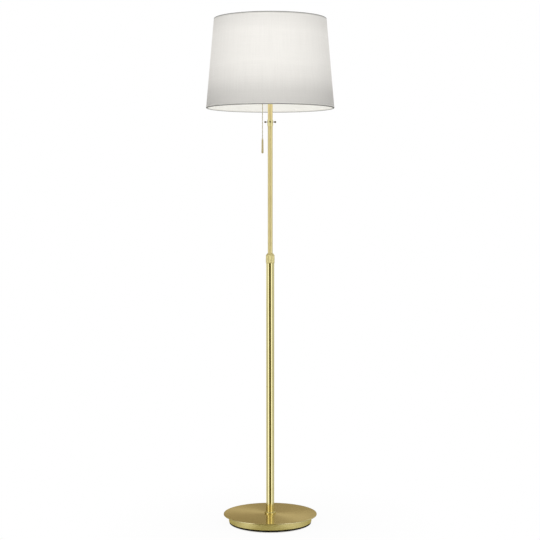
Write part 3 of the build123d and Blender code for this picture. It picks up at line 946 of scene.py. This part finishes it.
# Bulb with its pear-shaped globe
globe = turned(
    "opal_globe",
    [(0, GLOBE_LOW)]
    + [(r, GLOBE_LOW + rise) for r, rise in GLOBE_NECK]
    + arc(0, GLOBE_MID, GLOBE_R, -36, 90, 22),
    steps=72,
    crease=50,
)
dress(globe, "head", "opal_glass", opal_glass, "bulb_globe")

# Lampholder's shell with the thread that carries the shade
plain_shell = turned(
    "threaded_shell",
    [(SHELL_BORE_R, SHELL_LOW)]
    + [(r, SHELL_LOW + rise) for r, rise in SHELL_COLLAR]
    + [(THREAD_R, SHELL_HIGH - THREAD_DEPTH), (THREAD_R - THREAD_DEPTH, SHELL_HIGH)]
    + [(SHELL_BORE_R, SHELL_HIGH)],
    steps=72,
)


def make_thread():
    """One turn's ridge is drawn, then screwed up the shell."""
    thread = start_point("shell_thread", (THREAD_R * MM, 0, THREAD_START * MM))
    draw_out(THREAD_RIDGE)
    bpy.ops.object.mode_set(mode="OBJECT")
    screwed(thread, THREAD_PITCH, THREAD_TURNS, 48)
    tidy_shell(thread)
    return thread


shell = joined("threaded_shell", [plain_shell, make_thread()])
dress(shell, "head", "black_plastic", black_plastic, "holder_shell")

# Shade: cloth with its overlapped seam, liner, rolled hems and the wire spider


def skin(name, inset, thickness, rows, steps):
    """Tapered sheet of the shade at an inset from its outer face."""
    heights = [SKIN_LOW + (SKIN_HIGH - SKIN_LOW) * row / rows for row in range(rows + 1)]
    outer = [(shade_r(z) - inset, z) for z in heights]
    inner = [(shade_r(z) - inset - thickness, z) for z in reversed(heights)]
    return turned(name, outer + inner, steps=steps)


cloth = skin("shade_sheet", inset=0.1, thickness=0.8, rows=12, steps=180)
dress(cloth, "head", "shade_fabric", shade_cloth, "shade_fabric")
liner = skin("shade_lining", inset=1.0, thickness=0.7, rows=2, steps=144)
dress(liner, "head", "shade_liner", shade_liner, "shade_liner")


def hem(name, z, replaced):
    """Cloth rolled round a wire ring."""
    rolled = turned(name, arc(shade_r(z) - HEM_R, z, HEM_R, 0, 337.5, 15), steps=180, crease=60)
    dress(rolled, "head", "shade_fabric", hem_cloth_painted_light, replaced)


hem("top_hem", SHADE_HIGH - HEM_R, "shade_top_hem")
hem("bottom_hem", SHADE_LOW + HEM_R, "shade_bottom_hem")


def seam_line(z):
    """The seam's inner and outer point at a height: it lies on the cloth and stands a little proud."""
    return (shade_r(z) - SEAM_SUNK, z), (shade_r(z) + SEAM_PROUD, z)


low_in, low_out = seam_line(SKIN_LOW)
high_in, high_out = seam_line(SKIN_HIGH)
seam = turned(
    "shade_seam",
    [low_in, low_out, high_out, high_in],
    steps=6,
    start=SEAM_START,
    sweep=SEAM_SWEEP,
)
dress(seam, "head", "shade_fabric", seam_cloth)


def make_spider():
    """Three wire arms from the fitter ring down to the lower wire ring."""
    ring_z = SHADE_LOW + HEM_R
    ring_r = shade_r(ring_z) - HEM_R
    path = [(FITTER_R + out, FITTER_Z + up) for out, up in ARM_AT_FITTER]
    path += [(ring_r + out, ring_z + up) for out, up in ARM_AT_RING]
    first = bent_wire("spider_wires", path, WIRE_R, WIRE_BEND)
    arms = []
    for angle in ARM_ANGLES:
        arm = copied(first)
        arm.rotation_euler = (0, 0, math.radians(angle))
        arms.append(arm)
    bpy.data.objects.remove(first)
    deselect()
    for arm in arms:
        arm.select_set(True)
    bpy.context.view_layer.objects.active = arms[0]
    bpy.ops.object.transform_apply(location=True, rotation=True, scale=True)
    return joined("spider_wires", arms)


dress(make_spider(), "head", "white_wire", white_wire, "spider_arms")

# Studio that the metal shows, by direction: 0 is away from the camera, 1 is behind it
STUDIO_LEVEL = 2.6
STUDIO_TURN = 0.15
STUDIO_WALLS = [(0.0, (0.26, 0.24, 0.195)), (0.02, (0.28, 0.26, 0.22))]
STUDIO_WALLS += [(0.09, 0.40), (0.25, 0.35), (0.5, 0.30)]
TALL_LIGHTS = [(0.715, 0.33), (0.775, 0.70), (0.80, 0.75), (0.90, 0.75)]
DARK_END = [(0.928, 0.46), (0.95, (0.056, 0.048, 0.004)), (1.0, (0.052, 0.043, 0.002))]
SOFT_END = [(0.928, 0.50), (0.95, (0.36, 0.33, 0.24)), (1.0, (0.33, 0.30, 0.21))]

# Its light by height: a bright band that tilts across the far side, dimmer overhead
DIM = (0.24, 0.19, 0.07)
PALE = (0.46, 0.40, 0.25)
FAR_HEIGHTS = [(0.015, 0.77), (0.05, 0.3), (0.11, 0.4), (0.17, 1.0)]
FAR_HEIGHTS += [(0.27, 1.0), (0.36, DIM), (0.47, DIM), (0.64, PALE)]
NEAR_HEIGHTS = [(0.08, 0.77), (0.15, 1.0), (0.34, 1.0), (0.48, 0.50), (0.65, 0.50), (1.0, PALE)]
BAND_TILT = -1.9
BAND_REACH = 0.15


def make_studio_round():
    """Studio seen in the metal: dark low behind the camera, two tall lights beside it, pale elsewhere."""
    tree, start, end = new_group(
        "studio_round",
        [("Vector", "Vector", None), ("Turn", "Float", 0.0)],
        [("Colour", "Color")],
    )
    x, y, z = parted(tree, start.outputs["Vector"])
    reach = maths(tree, "MAXIMUM", from_axis(tree, x, y), 1e-5)
    facing = maths(tree, "MULTIPLY_ADD", x, start.outputs["Turn"], y)
    ahead = maths(tree, "DIVIDE", maths(tree, "MULTIPLY", facing, -1.0), reach)
    share = maths(tree, "MULTIPLY_ADD", ahead, 0.5, 0.5)
    low = ramp(tree, share, STUDIO_WALLS + TALL_LIGHTS + DARK_END)
    high = ramp(tree, share, STUDIO_WALLS + TALL_LIGHTS + SOFT_END)
    level = mixed(tree, ramp(tree, z, [(0.12, 0.0), (0.26, 1.0)]), low, high)
    aside = maths(tree, "MAXIMUM", maths(tree, "DIVIDE", x, reach), -BAND_REACH)
    aside = maths(tree, "MINIMUM", aside, BAND_REACH)
    far = ramp(tree, maths(tree, "MULTIPLY_ADD", aside, BAND_TILT, z), FAR_HEIGHTS)
    near = ramp(tree, z, NEAR_HEIGHTS)
    by_height = mixed(tree, ramp(tree, share, [(0.5, 0.0), (0.7, 1.0)]), far, near)
    feed(tree, multiplied(tree, level, by_height), end.inputs["Colour"])
    return tree


studio_round = make_studio_round()

# Floor, background and lights


def build_world():
    """White to the camera, the studio in reflections, plain soft light for the rest."""
    world = bpy.data.worlds.new("studio")
    bpy.context.scene.world = world
    world.use_nodes = True
    tree = world.node_tree
    tree.nodes.clear()
    path = node(tree, "ShaderNodeLightPath")
    way = node(tree, "ShaderNodeTexCoord").outputs["Generated"]
    seen = node(tree, "ShaderNodeBackground")
    seen.inputs["Color"].default_value = (1, 1, 1, 1)
    seen.inputs["Strength"].default_value = 1.0
    mirrored = node(tree, "ShaderNodeBackground")
    mirrored.inputs["Strength"].default_value = STUDIO_LEVEL
    around = place_group(tree, studio_round, way, Turn=STUDIO_TURN)
    feed(tree, around.outputs[0], mirrored.inputs["Color"])
    soft = node(tree, "ShaderNodeBackground")
    soft.inputs["Color"].default_value = (1, 1, 1, 1)
    soft.inputs["Strength"].default_value = 0.45
    by_gloss = shader_by(tree, path.outputs["Is Glossy Ray"], soft.outputs[0], mirrored.outputs[0])
    clear = maths(tree, "MAXIMUM", path.outputs["Is Camera Ray"], path.outputs["Is Transmission Ray"])
    by_camera = shader_by(tree, clear, by_gloss, seen.outputs[0])
    feed(tree, by_camera, node(tree, "ShaderNodeOutputWorld").inputs[0])


# Floor in the metal: turned like the studio further out, dimmer behind, and with painted shade close to
# the base
FLOOR_SIZE = 16.0
FLOOR_TURN = 0.019
FLOOR_BEHIND = (0.04, 0.035, 0.015)
FLOOR_PAINTED_SHADE = (0.15, 0.14, 0.075)
SHADOW_SHAPE = (1.1, 1.0, 1.0)
SHADOW_FADE = [(0.131, 0.0), (0.141, 0.95), (0.6, 1.0)]


def build_floor():
    """Pale floor that keeps the lamp's soft shadow and fades into the white background."""
    deselect()
    bpy.ops.mesh.primitive_plane_add(size=FLOOR_SIZE)
    floor = bpy.context.object
    floor.name = "floor"
    material = bpy.data.materials.new("pale_floor")
    material.use_nodes = True
    tree = material.node_tree
    tree.nodes.clear()
    where = node(tree, "ShaderNodeTexCoord").outputs["Object"]
    path = node(tree, "ShaderNodeLightPath")
    matt = node(tree, "ShaderNodeBsdfDiffuse")
    matt.inputs["Color"].default_value = (0.86, 0.86, 0.86, 1)
    white = node(tree, "ShaderNodeEmission")
    white.inputs["Strength"].default_value = 1.0
    mirrored = node(tree, "ShaderNodeEmission")
    mirrored.inputs["Strength"].default_value = STUDIO_LEVEL
    away = length_of(tree, where)
    turn = maths(tree, "MINIMUM", maths(tree, "MULTIPLY", away, FLOOR_TURN), STUDIO_TURN)
    around = place_group(tree, studio_round, where, Turn=turn)
    behind = ramp(tree, parted(tree, where)[1], [(0.0, 0.0), (0.5, 0.15)])
    beside = mixed(tree, behind, around.outputs[0], FLOOR_BEHIND)
    # Painted shade close to the base, which the metal mirrors
    close = ramp(tree, away, [(0.23, 0.85), (0.28, 0.0)])
    feed(tree, mixed(tree, close, beside, FLOOR_PAINTED_SHADE), mirrored.inputs["Color"])
    wider = node(tree, "ShaderNodeVectorMath", operation="MULTIPLY")
    wider.inputs[1].default_value = SHADOW_SHAPE
    feed(tree, where, wider.inputs[0])
    fade = ramp(tree, length_of(tree, wider.outputs[0]), SHADOW_FADE)
    faded = maths(tree, "MULTIPLY", fade, path.outputs["Is Camera Ray"])
    shown = shader_by(tree, faded, matt.outputs[0], white.outputs[0])
    by_gloss = shader_by(tree, path.outputs["Is Glossy Ray"], shown, mirrored.outputs[0])
    feed(tree, by_gloss, node(tree, "ShaderNodeOutputMaterial").inputs[0])
    floor.data.materials.append(material)


def soft_light(name, place, aim, size, power):
    """Large soft light turned towards a point of the lamp; the metal shows the studio instead of it."""
    deselect()
    bpy.ops.object.light_add(type="AREA", location=place)
    lamp = bpy.context.object
    lamp.name = name
    lamp.data.shape = "RECTANGLE"
    lamp.data.size = size[0]
    lamp.data.size_y = size[1]
    lamp.data.energy = power
    lamp.rotation_euler = (Vector(aim) - Vector(place)).to_track_quat("-Z", "Y").to_euler()
    lamp.visible_glossy = False
    lamp.visible_camera = False


build_world()
build_floor()
soft_light("left_front", place=(-1.36, -2.67, 1.9), aim=(0, 0, 1.1), size=(1.2, 2.0), power=24.5)
soft_light("right_front", place=(1.36, -2.67, 1.9), aim=(0, 0, 1.1), size=(1.2, 2.0), power=21.5)
soft_light("behind", place=(0, 3.0, 2.2), aim=(0, 0, 1.2), size=(2.4, 1.6), power=22)
bpy.context.scene.view_settings.view_transform = "Standard"
